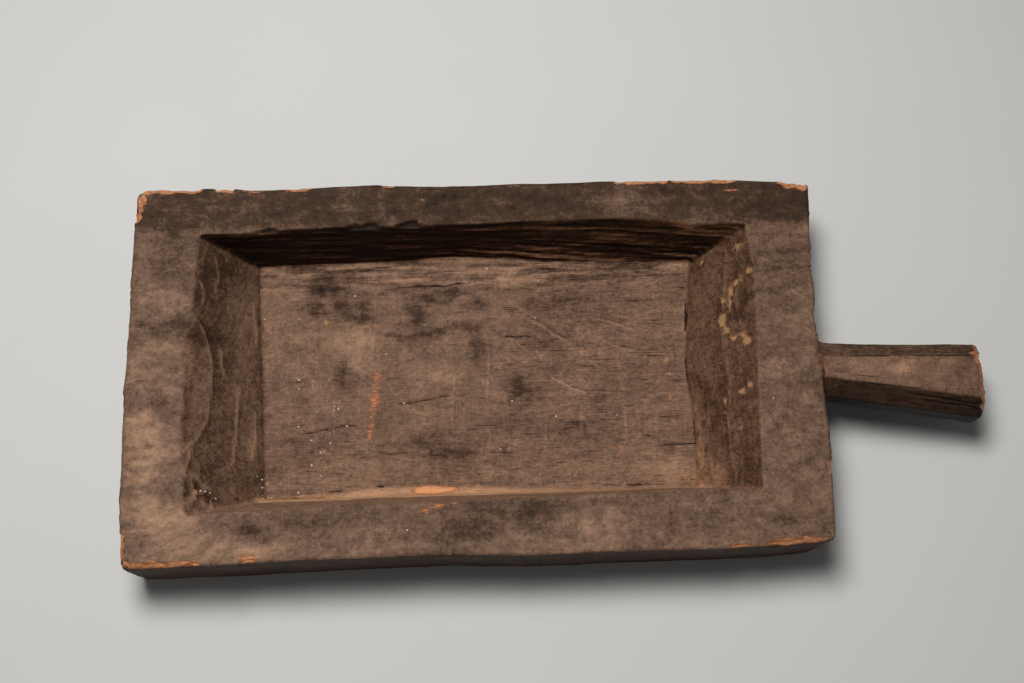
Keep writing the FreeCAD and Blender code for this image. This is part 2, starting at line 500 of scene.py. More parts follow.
# Fresh chips off the rim, each as (spot, outward, run, half its length, bite).
CHIPS = [
    ((-210, 127.5, 72), (0, 1, 1), ALONG_X, 30, 2.5),
    ((-169, 127, 72), (0, 1, 0.8), ALONG_X, 8, 2.2),
    ((-134, 126, 72), (0, 1, 1.2), ALONG_X, 28, 1.5),
    ((-58, 127, 72), (0, 1, 1), ALONG_X, 5, 1.3),
    ((116, 127, 72), (0, 1, 1.2), ALONG_X, 22, 1.5),
    ((160, 127, 72), (0, 1, 1.4), ALONG_X, 28, 1.6),
    ((219, 125, 72), (0.3, 1, 1.4), ALONG_X, 13, 3.0),
    ((-228, 119, 72), (-1, 0, 1.1), ALONG_Y, 10, 3.6),
    ((-229, 107, 72), (-1, 0, 1.1), ALONG_Y, 3.5, 3.0),
    ((-228, 126, 72), (-1, 1, 1), ALONG_X, 10, 4.2),
    ((-206, -128, 72), (0, -1, 1), ALONG_X, 30, 2.6),
    ((-230, -127, 72), (-1, -1, 1), ALONG_X, 9, 4.6),
    ((-231, -113, 72), (-1, 0, 1), ALONG_Y, 9, 2.0),
    ((-150, -127.5, 72), (0, -1, 1.4), ALONG_X, 6, 3.4),
    ((-138, -128, 72), (0, -1, 1), ALONG_X, 2.5, 1.8),
    ((168, -126, 72), (0, -1, 1), ALONG_X, 9, 1.8),
    ((206, -124.5, 72), (0, -1, 1.1), ALONG_X, 24, 2.9),
    ((230, -75, 72), (1, 0, 1), ALONG_Y, 5, 1.8),
]
# Chips that have darkened with the rest.
OLD_CHIPS = [
    ((231, 96, 72), (1, 0, 0.6), ALONG_Y, 12, 0.8),
    ((230, 30, 72), (1, 0, 0.8), ALONG_Y, 9, 1.0),
    ((231, 7, 72), (1, 0, 1.2), ALONG_Y, 9, 2.8),
    ((230, -28, 72), (1, 0, 1), ALONG_Y, 14, 0.8),
    ((60, 127, 72), (0, 1, 1), ALONG_X, 16, 0.6),
    ((20, -128, 72), (0, -1, 1), ALONG_X, 30, 0.7),
    ((-90, -128, 72), (0, -1, 1), ALONG_X, 34, 0.7),
    ((110, -127, 72), (0, -1, 1), ALONG_X, 40, 0.6),
    ((-231, -50, 72), (-1, 0, 1), ALONG_Y, 36, 0.6),
    ((-231, 50, 72), (-1, 0, 1), ALONG_Y, 30, 0.6),
]

# Splinters lost along the back wall's lip, each as (from, to, how far into the rim, how far down).
SLIVERS = [(-88.0, -64.0, 4.6, 5.0), (-61.0, -36.0, 3.4, 4.4), (-150.0, -132.0, 1.2, 3.0)]

# Where the wood is darker (below 0) or lighter (above 0), each as (centre, radii, amount).
RIM_TONES = [
    ((-206, 78, 72), (26, 26, 9), -0.16),
    ((-214, 92, 72), (8, 8, 9), 0.12),
    ((-222, 68, 72), (6, 14, 9), 0.14),
    ((-206, 48, 72), (20, 6, 9), 0.3),
    ((-198, 32, 72), (9, 9, 9), -0.26),
    ((-214, 28, 72), (8, 6, 9), -0.16),
    ((-208, 15, 72), (16, 3.5, 9), 0.34),
    ((-222, 4, 72), (8, 12, 9), 0.2),
    ((-204, -4, 72), (14, 7, 9), 0.08),
    ((-212, -22, 72), (8, 5, 9), -0.2),
    ((-220, -36, 72), (10, 14, 9), 0.3),
    ((-206, -50, 72), (14, 9, 9), 0.28),
    ((-218, -66, 72), (12, 14, 9), 0.42),
    ((-200, -74, 72), (7, 10, 9), -0.08),
    ((-212, -94, 72), (14, 10, 9), 0.36),
    ((-194, -104, 72), (22, 12, 9), 0.36),
    ((-206, -118, 72), (16, 6, 9), 0.2),
    ((-150, -119, 72), (24, 8, 9), 0.42),
    ((-150, -105, 72), (7, 3.5, 9), -0.55),
    ((-138, -110, 72), (9, 4, 9), -0.3),
    ((-170, -100, 72), (14, 4, 9), -0.12),
    ((-112, -100, 72), (34, 6, 9), -0.22),
    ((-62, -114, 72), (22, 9, 9), 0.14),
    ((-8, -108, 72), (30, 13, 9), -0.24),
    ((34, -98, 72), (34, 7, 9), -0.34),
    ((30, -118, 72), (24, 7, 9), 0.24),
    ((74, -108, 72), (18, 12, 9), 0.22),
    ((124, -100, 72), (34, 7, 9), -0.1),
    ((206, -84, 72), (18, 34, 9), 0.06),
    ((-150, 114, 72), (20, 7, 9), 0.08),
    ((-120, 108, 72), (16, 8, 9), -0.16),
    ((-84, 114, 72), (18, 8, 9), 0.12),
    ((-30, 112, 72), (34, 14, 9), -0.12),
    ((42, 112, 72), (24, 12, 9), -0.12),
    ((103, 112, 72), (14, 10, 9), 0.36),
    ((124, 106, 72), (8, 7, 9), 0.2),
    ((206, 90, 72), (20, 30, 9), -0.15),
]
FLOOR_TONES = [
    ((-103, 69, 26), (13, 6, 6), -0.7),
    ((-96, 56, 26), (8, 6, 6), -0.5),
    ((-112, 54, 26), (8, 5, 6), -0.45),
    ((-84, 47, 26), (12, 4, 6), -0.4),
    ((-79, 56, 26), (4, 6, 6), -0.4),
    ((-104, 57, 26), (6, 3, 6), 0.35),
    ((-32, 60, 26), (12, 4, 6), -0.55),
    ((-14, 63, 26), (9, 2.5, 6), -0.5),
    ((-42, 48, 26), (7, 8, 6), -0.5),
    ((-52, 32, 26), (12, 3, 6), -0.35),
    ((2, 56, 26), (8, 4, 6), -0.3),
    ((-28, 36, 26), (14, 3, 6), -0.35),
    ((-8, 38, 26), (9, 5, 6), -0.3),
    ((2, 24, 26), (6, 12, 6), -0.35),
    ((28, -10, 26), (8, 10, 6), -0.45),
    ((44, -10, 26), (8, 7, 6), -0.25),
    ((-18, -52, 26), (13, 9, 6), -0.4),
    ((-34, -46, 26), (8, 6, 6), -0.25),
    ((-94, 8, 26), (5, 8, 6), -0.35),
    ((-88, -2, 26), (5, 7, 6), -0.2),
    ((64, -36, 26), (22, 4, 6), -0.3),
    ((16, -32, 26), (16, 7, 6), -0.22),
    ((66, 54, 26), (26, 7, 6), -0.25),
    ((104, 52, 26), (26, 12, 6), -0.08),
    ((40, 30, 26), (16, 6, 6), -0.22),
    ((84, -18, 26), (5, 8, 6), -0.2),
    ((-128, -30, 26), (22, 24, 6), -0.08),
    ((-126, 44, 26), (20, 26, 6), 0.02),
    ((-120, 78, 26), (22, 6, 6), 0.2),
    ((-20, 76, 26), (60, 5, 6), 0.22),
    ((24, 74, 26), (14, 5, 6), 0.25),
    ((-90, 32, 26), (16, 8, 6), 0.3),
    ((-84, 20, 26), (8, 12, 6), 0.2),
    ((-70, 24, 26), (4, 18, 6), 0.12),
    ((-40, -30, 26), (12, 8, 6), 0.2),
    ((-22, 4, 26), (14, 6, 6), 0.3),
    ((-40, -2, 26), (14, 6, 6), 0.12),
    ((12, -4, 26), (6, 14, 6), 0.18),
    ((120, 50, 26), (26, 20, 6), 0.1),
    ((130, -66, 26), (20, 10, 6), 0.34),
    ((60, -64, 26), (60, 7, 6), 0.14),
    ((-60, -58, 26), (60, 7, 6), 0.12),
    ((-104, -70, 26), (44, 5, 6), 0.16),
]
WALL_TONES = [
    ((160, -72, 38), (12, 12, 12), 0.5),
    ((152, -50, 30), (6, 30, 6), 0.45),
    ((176, -46, 57), (4, 5, 4), 0.3),
    ((180, -70, 62), (8, 14, 10), -0.12),
    ((182, 36, 66), (5, 12, 6), -0.3),
    ((164, 60, 44), (12, 20, 12), 0.1),
    ((-182, 62, 62), (12, 26, 12), -0.15),
    ((-172, 74, 52), (12, 9, 14), -0.2),
    ((-186, 56, 68), (6, 12, 4), -0.1),
    ((-190, 16, 70), (3.5, 22, 2.6), 0.5),
    ((-176, 26, 56), (6, 9, 5), -0.15),
    ((-170, 6, 50), (8, 12, 5), -0.1),
    ((-182, -22, 65), (7, 22, 5), 0.16),
    ((-160, 30, 38), (10, 30, 8), 0.18),
    ((-158, -40, 36), (9, 26, 7), 0.14),
    ((-178, -62, 58), (8, 8, 8), -0.1),
]
# Bare wood under the dark skin, each as (centre, radii, amount).
BARE_SPOTS = [
    # The first two lie on the bank and are pushed past full bare wood to its palest colour: bare wood, plus
    # painted light where the bank faces the key light.
    ((-34, -76.5, 27.5), (9, 2.6, 3.2), 4.6),
    ((-22, -76, 27.5), (7, 1.8, 3.0), 2.4),
    ((-37, -96.5, 72), (4, 2.6, 3), 0.95),
    ((-27, -94, 72), (6, 2.4, 3), 0.9),
    ((-17, -92, 72), (3, 2, 3), 1.0),
    ((-68.5, 4, 26), (4.2, 5, 5), 0.8),
    ((-69.5, -8, 26), (4.4, 8, 5), 0.72),
    ((-71.5, -16, 26), (3.6, 6, 5), 0.66),
    ((-73, -28, 26), (2.8, 9, 5), 0.76),
    ((-75, -38, 26), (2, 5, 5), 0.66),
    ((-73, 24, 26), (1.6, 14, 5), 0.42),
    ((-63, 0, 26), (1.6, 14, 5), 0.4),
    ((97, -51, 26), (3, 5, 5), 0.66),
    ((92, -59, 26), (3, 4, 5), 0.6),
    ((45, -54, 26), (1.4, 8, 5), 0.55),
    ((43, -62, 26), (2, 2.4, 5), 0.7),
    ((-34, 116, 72), (3, 1.8, 3), 0.8),
    ((178, 119, 72), (8, 1.5, 3), 0.85),
    ((60, -79, 28), (90, 1.6, 1.6), 0.5),
    ((-110, -79.5, 28), (36, 1.8, 1.8), 0.5),
    ((120, -81, 29), (26, 1.8, 1.8), 0.7),
]
# Pale grit, each as (centre, radii, amount).
GRIT_SPOTS = [
    ((-112, 0, 26), (12, 4, 5), 1.5),
    ((-104, -17, 26), (7, 4, 5), 1.3),
    ((-100, -41, 26), (2.4, 2.4, 5), 1.3),
    ((-104, -36, 26), (22, 9, 5), 0.3),
    ((-130, -64, 26), (12, 14, 5), 0.3),
    ((-62, 18, 26), (3, 3, 5), 0.9),
    ((-178, -80, 60), (8, 5, 12), 1.1),
    ((-146, -77, 28), (4, 4, 5), 1.2),
    ((-52, -112, 72), (14, 8, 9), 0.14),
    ((202, -6, 72), (1.6, 1.6, 3), 1.5),
    ((197, -28, 72), (2, 2, 3), 1.3),
    ((-150, -60, 28), (8, 20, 9), 0.2),
]
# Dried ochre mud, each as (centre, radii, amount).
CLAY_SPOTS = [
    ((185.5, 62, 69.5), (3, 3, 3), 1.0),
    ((181, 58, 64.5), (2, 3, 3), 0.8),
    ((177.5, 56.5, 61), (2.6, 3.4, 3), 1.1),
    ((175, 51, 57), (2, 4, 2.6), 0.95),
    ((171, 45, 50.5), (1.8, 4.5, 2.2), 1.0),
    ((174, 42, 55), (1.6, 6, 2), 0.85),
    ((170, 32, 50), (3, 5, 3.4), 1.25),
    ((172, 23.5, 52.5), (2.6, 3.2, 3), 1.05),
    ((175.5, 17, 57.5), (3, 2.2, 3), 1.1),
    ((182, 14, 65.5), (3.4, 3, 3.2), 1.2),
    ((180, 19, 63), (2, 2.4, 2.4), 0.8),
    ((186, 46, 71), (1.4, 1.8, 1.8), 1.0),
    ((163, 37, 41), (3, 5, 3), 0.55),
    ((182, -17, 66), (2.4, 2.4, 2.6), 1.05),
    ((178, -21, 60.5), (3.2, 2.4, 3), 1.05),
    ((169, -25, 49), (2, 3.6, 2.4), 1.2),
    ((169, -33, 48.5), (2, 3, 2.4), 0.9),
    ((164, -41, 43), (2, 7, 2.4), 0.6),
    ((176, -45, 58), (2.6, 3.6, 3), 0.66),
    ((176, -54, 57), (1.4, 4, 2), 0.6),
    ((180, 80, 64), (6, 4, 5), 0.62),
    ((160, 78, 38), (2, 2, 2), 0.9),
    ((153, -62, 30), (6, 16, 6), 0.5),
    ((142, -73, 27), (12, 4, 4), 0.52),
    ((-208, 15, 72), (9, 1.4, 4), 0.42),
    ((133, 11, 26), (2, 3, 4), 0.85),
    ((134, 1, 26), (2.4, 1.4, 4), 0.8),
    ((134, -15, 26), (1.2, 5, 4), 0.85),
    ((118, 14, 26), (2, 2, 4), 0.75),
    ((-104, 43, 26), (2.4, 2.6, 4), 0.8),
    ((-105, -48, 26), (2, 2, 4), 0.7),
]


def spots(points, table):
    """The sum of the soft spots in a table of (centre, radii, amount)."""
    return sum(amount * blot(points, centre, radii) for centre, radii, amount in table)


def floor_cracks():
    """The cracks of the floor: those placed one by one, then short ones scattered over it that rise a little
    towards the near end, as the grain does there."""
    draw = np.random.default_rng(7)
    cracks = list(FLOOR_CRACKS)
    for _ in range(SMALL_CRACKS):
        start, length = draw.uniform(-144, 120), draw.uniform(9, 34)
        place = draw.uniform(-76, 84)
        rise = draw.uniform(-0.03, 0.05) + 0.1 * ease(-start / 140)
        route = [(start, place), (start + length, place + rise * length)]
        cracks.append((route, draw.uniform(0.8, 1.1), draw.uniform(0.15, 0.55)))
    return cracks


def tray_cracks(points, surface):
    """How deep each point of the tray lies in a crack or a scratch, in millimetres, and how dark and how
    light that makes it."""
    on_floor = (surface == "floor") | (surface == "foot")
    on_rim = (surface == "rim") | (surface == "edge") | (surface == "wall") | (surface == "side")
    deep = np.zeros(len(points))
    dark = np.zeros(len(points))
    for k, (route, width, depth) in enumerate(floor_cracks()):
        inside = seam(points, route, width, 100 + 3 * k) * on_floor
        deep = np.maximum(deep, inside * depth)
        dark = np.maximum(dark, np.clip(inside * 1.4, 0, 1) * min(0.85, 0.2 + 0.33 * depth))
    for k, (route, width, depth) in enumerate(RIM_CRACKS):
        inside = seam(points, route, width, 600 + 3 * k) * on_rim * (points[:, 2] > 44)
        deep = np.maximum(deep, inside * depth)
        dark = np.maximum(dark, np.clip(inside * 1.5, 0, 1) * 0.5)
    for k, (route, width) in enumerate(FOOT_GAPS):
        inside = seam(points, route, width, 660 + 3 * k, along=1) * on_floor
        deep = np.maximum(deep, inside * 1.6)
        dark = np.maximum(dark, np.clip(inside * 1.5, 0, 1))
    light = np.zeros(len(points))
    for k, (route, width) in enumerate(SCRATCHES):
        light = np.maximum(light, seam(points, route, width, 700 + 3 * k) * on_floor)
        lip = [(place, value + 1.3 * width) for place, value in route]
        dark = np.maximum(dark, 0.62 * seam(points, lip, 1.2 * width, 730 + 3 * k) * on_floor)
    for k, (route, width) in enumerate(GOUGE_CUTS):
        inside = seam(points, route, width, 760 + 3 * k, along=1) * on_floor
        light = np.maximum(light, 0.5 * inside)
        beside = [(place, value + 1.4 * width) for place, value in route]
        dark = np.maximum(dark, 0.5 * seam(points, beside, 1.1 * width, 790 + 3 * k, along=1) * on_floor)
    return np.maximum(deep, 0.6 * light), dark, light


def tray_marks(points, normals, surface, sizes):
    """The tray's points moved by every mark, and what the wood is like at each of them: how much bare wood,
    crack, tone, warmth, open grain, grit and clay. The tone and the crack also carry painted light and shade."""
    hewn = sizes.hewn_depth / MM
    x, y, z = points.T
    on_rim = (surface == "rim") | (surface == "edge")
    on_foot = surface == "foot"
    on_floor = (surface == "floor") | on_foot
    on_wall = surface == "wall"
    outside = (surface == "side") | (surface == "base") | (surface == "under")
    near_wall, far_wall = (ease(2.0 * sign * normals[:, 0] * on_wall) for sign in (1, -1))
    front_wall, back_wall = (ease(2.0 * sign * normals[:, 1] * on_wall) for sign in (1, -1))

    # Broad unevenness of a hewn block, with crests where one shallow stroke meets the next.
    strokes = 1.0 - 2.2 * np.abs(rough(points, (48.0, 30.0, 24.0), 21, 2))
    height = hewn * (0.35 * rough(points, (60.0, 34.0, 30.0), 11) + np.where(outside, 0.6, 0.15) * strokes)
    # Grain that weather and washing have raised: long fibres along X, most of all at the floor's back edge.
    flaky = on_floor * ease((y - 56.0) / 24.0)
    fibre = rough(points, (24.0, 2.6, 2.6), 31, 2)
    height += hewn * fibre * (0.08 + (0.16 + 0.4 * flaky) * on_floor + 0.25 * outside + 0.1 * on_wall)
    height += 0.14 * rough(points, (5.0, 3.5, 3.5), 41, 2)

    # The back wall is split along its fibres, which run a little downwards towards the grip, most of all near
    # its foot on that side.
    torn = ease((56.0 - z) / 20.0) * ease((x + 110.0) / 160.0)
    layers = rough(points + np.outer(0.07 * x, (0.0, 0.0, 1.0)), (52.0, 6.0, 2.0), 51)
    splits = ease((z - 27.0) / 6.0)
    height += back_wall * splits * (0.35 + 1.0 * torn) * layers
    height += front_wall * 0.35 * rough(points, (60.0, 9.0, 4.0), 61)

    near_step, near_crest_highlight, near_hollow_shade = ledges(z, y, NEAR_WALL_LINES)
    far_step, far_crest_highlight, far_hollow_shade = ledges(z, y, FAR_WALL_LINES)
    height += near_wall * near_step + far_wall * far_step
    splintered = on_wall * blot(points, (-184, -80, 64), (14, 11, 12))
    splinters = rough(points, (5.0, 4.0, 3.0), 71)
    height += splintered * 2.6 * splinters

    deep, crack, light = tray_cracks(points, surface)
    # The fine line at the foot of the near end's wall.
    line = on_foot * (x < -100) * np.clip(0.3 + 0.5 * rough(points * (0, 1, 0), (1.0, 8.0, 1.0), 84), 0, 1)
    crack = np.maximum(crack, 0.5 * line)
    moved = points + normals * (height - deep)[:, None]

    # The floor's front edge turns up into the wall as a narrow bank, where the gouge came out of the wood.
    bank_edge = through((-150, -100, -68, 0, 45, 80, 150), (-79, -77, -73, -74, -77, -78, -78), x)
    bank = (on_floor | on_wall) * ease((bank_edge + 1.5 - y) / BANK_WIDTH)
    bank = bank * ease((z - 20.0) / 4.0) * ease((36.0 - z) / 6.0)
    moved[:, 2] += BANK_RISE * bank * (x > -150) * (x < 152)

    bare = np.clip(spots(moved, BARE_SPOTS), 0.0, 2.2)
    for k, (spot, outward_way, run, half, bite) in enumerate(CHIPS + OLD_CHIPS):
        cut = chip(moved, spot, outward_way, run, half, bite, 400 + 5 * k)
        moved -= np.outer(cut, np.asarray(outward_way) / np.linalg.norm(outward_way))
        bare = np.maximum(bare, np.clip(cut / 0.4, 0, 1.2) * (k < len(CHIPS)))
    lost = np.zeros(len(points))
    for k, (start, end, into, down) in enumerate(SLIVERS):
        share = (x - start) / (end - start)
        jagged = 0.75 + 0.7 * rough(points * (1, 0, 0), (7.0, 1.0, 1.0), 500 + 5 * k)
        shape = np.clip(1.4 * share, 0, 1) * np.clip(6 * (1 - share), 0, 1) * jagged
        lip = (TRAY_HIGH.y - sizes.back_rim) / MM + through(*zip(*HEWN["opening"][2]), x)
        gone = ease(2.0 * (lip + into * shape - y) + 0.5) * (y > 88) * (on_rim | on_wall) * (shape > 0.1)
        ledge = TRAY_HIGH.z / MM - down + 0.8 * layers
        sunk = gone * np.clip(moved[:, 2] - ledge, 0, None)
        moved[:, 2] -= sunk
        lost = np.maximum(lost, np.clip(sunk / down, 0, 1))
        # A painted shadow: the inner side of each bite, under the rim's overhang, is painted dark through the
        # crack attribute.
        crack = np.maximum(crack, 0.95 * np.clip(2 * sunk / down, 0, 1) * ease((y - lip - 0.9) / 1.4))
    # Nothing goes below the ground, and the underside rises from it by 1.5 mm at most.
    moved[:, 2] = np.clip(moved[:, 2], 0.0, np.where(surface == "under", 1.5, np.inf))

    wandering = strayed(strayed(points, (16.0, 11.0, 11.0), 4.0, 90), (5.0, 3.0, 3.0), 1.4, 97)
    broken = 0.9 + 0.45 * rough(points, (6.0, 3.6, 3.6), 98, 3)
    # The rim darkens towards the back: partly darker skin, partly painted shade for the key light and sheen
    # that fade that way.
    back_rim = ease((wandering[:, 1] - 90.0) / 14.0) * broken
    tone = (
        on_rim * (broken * spots(wandering, RIM_TONES) - 0.38 * back_rim + 0.18 * (broken - 0.9) - 0.04)
        + on_floor * (broken * spots(wandering, FLOOR_TONES) + 0.03)
        + on_wall * broken * spots(wandering, WALL_TONES)
        # Painted shade: the outer sides and the underside, which face away from the key light, are darkened.
        + outside * -0.42
        # Painted highlight along the crest of each ledge on the end walls, and painted shade in the hollow
        # below it.
        + near_wall * (0.5 * near_crest_highlight - 0.1 * near_hollow_shade - 0.16)
        + far_wall * (0.2 * far_crest_highlight - 0.12 * far_hollow_shade - 0.2)
        # Painted shade on the back wall, which faces away from the key light, over a somewhat darker skin. It
        # lightens towards the grip's end, and painted highlights on its proud split layers and fibres stand
        # against painted shade in the gaps between them.
        + back_wall * (-0.86 + 0.42 * ease((x + 60.0) / 160.0) + (0.45 + 0.5 * torn) * layers + 0.35 * fibre)
        # The front wall is painted lighter: partly its paler, scraped skin, partly painted light where it
        # faces the key light.
        + front_wall * 0.22
        # The bank is painted lighter: partly paler scraped wood, partly painted light where it turns up to
        # face the key light.
        + 0.7 * bank
        + 0.4 * light
        # Painted highlights on the tops of the raised fibres at the floor's back edge, and painted shade in
        # the gaps between them.
        - 0.3 * flaky * ease(-fibre * 1.6)
        + 0.22 * flaky * ease(fibre * 1.6)
        + splintered * 0.8 * splinters
        - 0.6 * lost
    )
    warm = 0.4 * far_wall + 0.1 * near_wall + 0.7 * back_wall + 0.1 * front_wall + 0.35 * bank
    warm += on_floor * (0.1 + 0.3 * spots(points, CLAY_SPOTS)) + 0.5 * line
    open_grain = np.maximum(ease(x / 60.0), ease(-(y + 30.0) / 20.0))
    grain = 0.26 + on_floor * (0.14 + 0.3 * open_grain) + 0.25 * flaky + 0.5 * outside + 0.2 * on_wall
    grit = spots(points, GRIT_SPOTS) + 0.012 * on_floor
    clay = spots(strayed(points, (4.0, 4.0, 4.0), 0.8, 95), CLAY_SPOTS)
    return moved, {
        "bare": bare,
        "crack": crack,
        "tone": tone,
        "warm": warm,
        "grain": grain,
        "grit": grit,
        "clay": clay,
    }


# --- the grip's skin ----------------------------------------------------------------------------------------

# The grip's eight corners as (along Y, down from the rim), going round from the top facet's back corner:
# at the root, and at the free end.
GRIP_ROOT = [(1, 2.5), (-13, 3.0), (-24, 14.5), (-24, 30.5), (-15, 42.5), (3, 42.5), (12, 31.5), (12, 12.5)]
GRIP_END = [(0, 5.5), (-31, 5.5), (-41, 19.5), (-41, 39.5), (-32, 51.5), (-1, 51.5), (9, 39.5), (9, 14.5)]
# Grooves along the grip, each as (the corner it follows, how far round from it in facets, from, to as shares
# of the grip's length, half its width in facets, depth).
GRIP_GROOVES = [
    (0, -0.03, 0.06, 0.98, 0.07, 1.5),
    (0, -0.55, 0.30, 0.97, 0.05, 0.9),
    (1, -0.30, 0.08, 0.40, 0.035, 0.5),
    (1, 0.02, 0.24, 0.62, 0.06, 1.2),
    (1, 0.30, 0.50, 0.97, 0.08, 1.6),
    (1, 0.55, 0.58, 0.98, 0.07, 1.1),
    (1, -0.12, 0.64, 0.94, 0.03, 0.4),
    (1, 0.80, 0.40, 0.92, 0.05, 0.9),
    (7, 0.30, 0.05, 0.72, 0.05, 0.6),
    (7, 0.68, 0.20, 0.95, 0.05, 0.7),
    (3, 0.50, 0.10, 0.80, 0.06, 1.0),
    (5, 0.40, 0.20, 0.95, 0.06, 1.2),
    (6, 0.55, 0.15, 0.90, 0.06, 1.0),
]
# Chips off the grip's free end, as CHIPS.
GRIP_CHIPS = [
    ((342, 2, 66.5), (0.6, 0.25, 0.8), ALONG_Y, 9, 6.4),
    ((342, -13, 66.5), (0.75, 0, 0.65), ALONG_Y, 14, 3.4),
    ((342, -30, 64), (0.8, -0.2, 0.6), ALONG_Y, 10, 2.0),
    ((342, -38, 56), (1, -1, 1), ALONG_Y, 6, 1.4),
    ((342, 9, 40), (1, 1, 0), ALONG_Y, 6, 1.5),
]
# How dark (below 0) each facet is, counted from the top facet round by the front: a little from the hand, and
# on the front and low facets, which face away from the light, mostly painted shade.
FACET_HANDLING_AND_SHADE = (0.03, -0.5, -1.3, -1.1, -0.8, -0.5, -0.45, -0.22)


def grip_skin(sizes):
    """The grip's points and faces: an eight-sided section carried along X from inside the tray's end wall to
    the free end, then drawn in ring by ring to a closed middle.

    Each facet is straight between its corners, the corners are worn by averaging every point with its
    neighbours, and at the root a quarter of an ellipse stands out by `rise (1 - sqrt(1 - (1 - d / run)^2))`
    at the distance d from the wall, though only by a quarter of that on the top side."""
    root_x, end_x = TRAY_HIGH.x / MM, GRIP_HIGH.x / MM
    cove_run, cove_rise = sizes.cove_run / MM, sizes.cove_rise / MM
    chamfer = sizes.end_chamfer / MM
    x = np.linspace(root_x - sizes.root_sunk / MM, end_x, GRIP_ROWS)
    share = np.clip((x - root_x) / (end_x - root_x), 0.0, 1.0)[:, None, None]
    corners = np.array(GRIP_ROOT, float) * (1 - share) + np.array(GRIP_END, float) * share
    t = np.arange(GRIP_FACET_POINTS)[None, None, :, None] / GRIP_FACET_POINTS
    section = corners[:, :, None] * (1 - t) + np.roll(corners, -1, axis=1)[:, :, None] * t
    section = section.reshape(GRIP_ROWS, -1, 2)
    for _ in range(2):
        section = (np.roll(section, 1, axis=1) + 2 * section + np.roll(section, -1, axis=1)) / 4
    middle = section.mean(axis=1, keepdims=True)
    out = (section - middle) / np.linalg.norm(section - middle, axis=2, keepdims=True)
    distance = np.clip((x - root_x) / cove_run, 0.0, 1.0)
    flare = cove_rise * (1 - np.sqrt(1 - (1 - distance) ** 2))
    top_side = np.clip(-out[:, :, 1], 0.0, 1.0)
    section = section + out * flare[:, None, None] * (1 - 0.75 * top_side)[:, :, None]
    worn = np.clip((x - end_x + chamfer) / chamfer, 0.0, 1.0)
    section = section - out * (chamfer * (1 - np.sqrt(1 - 0.96 * worn**2)))[:, None, None]
    height = TRAY_HIGH.z / MM - section[..., 1]
    tube = np.stack(np.broadcast_arrays(x[:, None], section[..., 0], height), axis=-1)
    shrink = np.linspace(1.0, 0.0, GRIP_END_RINGS + 1)[1:-1, None, None]
    centre = tube[-1].mean(axis=0)
    rings = np.concatenate([tube, centre + (tube[-1] - centre) * shrink])
    rows, columns = rings.shape[:2]
    ids = np.arange(rows * columns).reshape(rows, columns)
    points = np.concatenate([rings.reshape(-1, 3), centre[None], tube[0].mean(axis=0)[None]])
    end_ring, root_ring = ids[-1], ids[0]
    tips = np.column_stack([end_ring, np.roll(end_ring, -1), np.full(columns, len(points) - 2)])
    heels = np.column_stack([np.roll(root_ring, -1), root_ring, np.full(columns, len(points) - 1)])
    return points, quads(np.hstack([ids, ids[:, :1]])), np.concatenate([tips, heels])


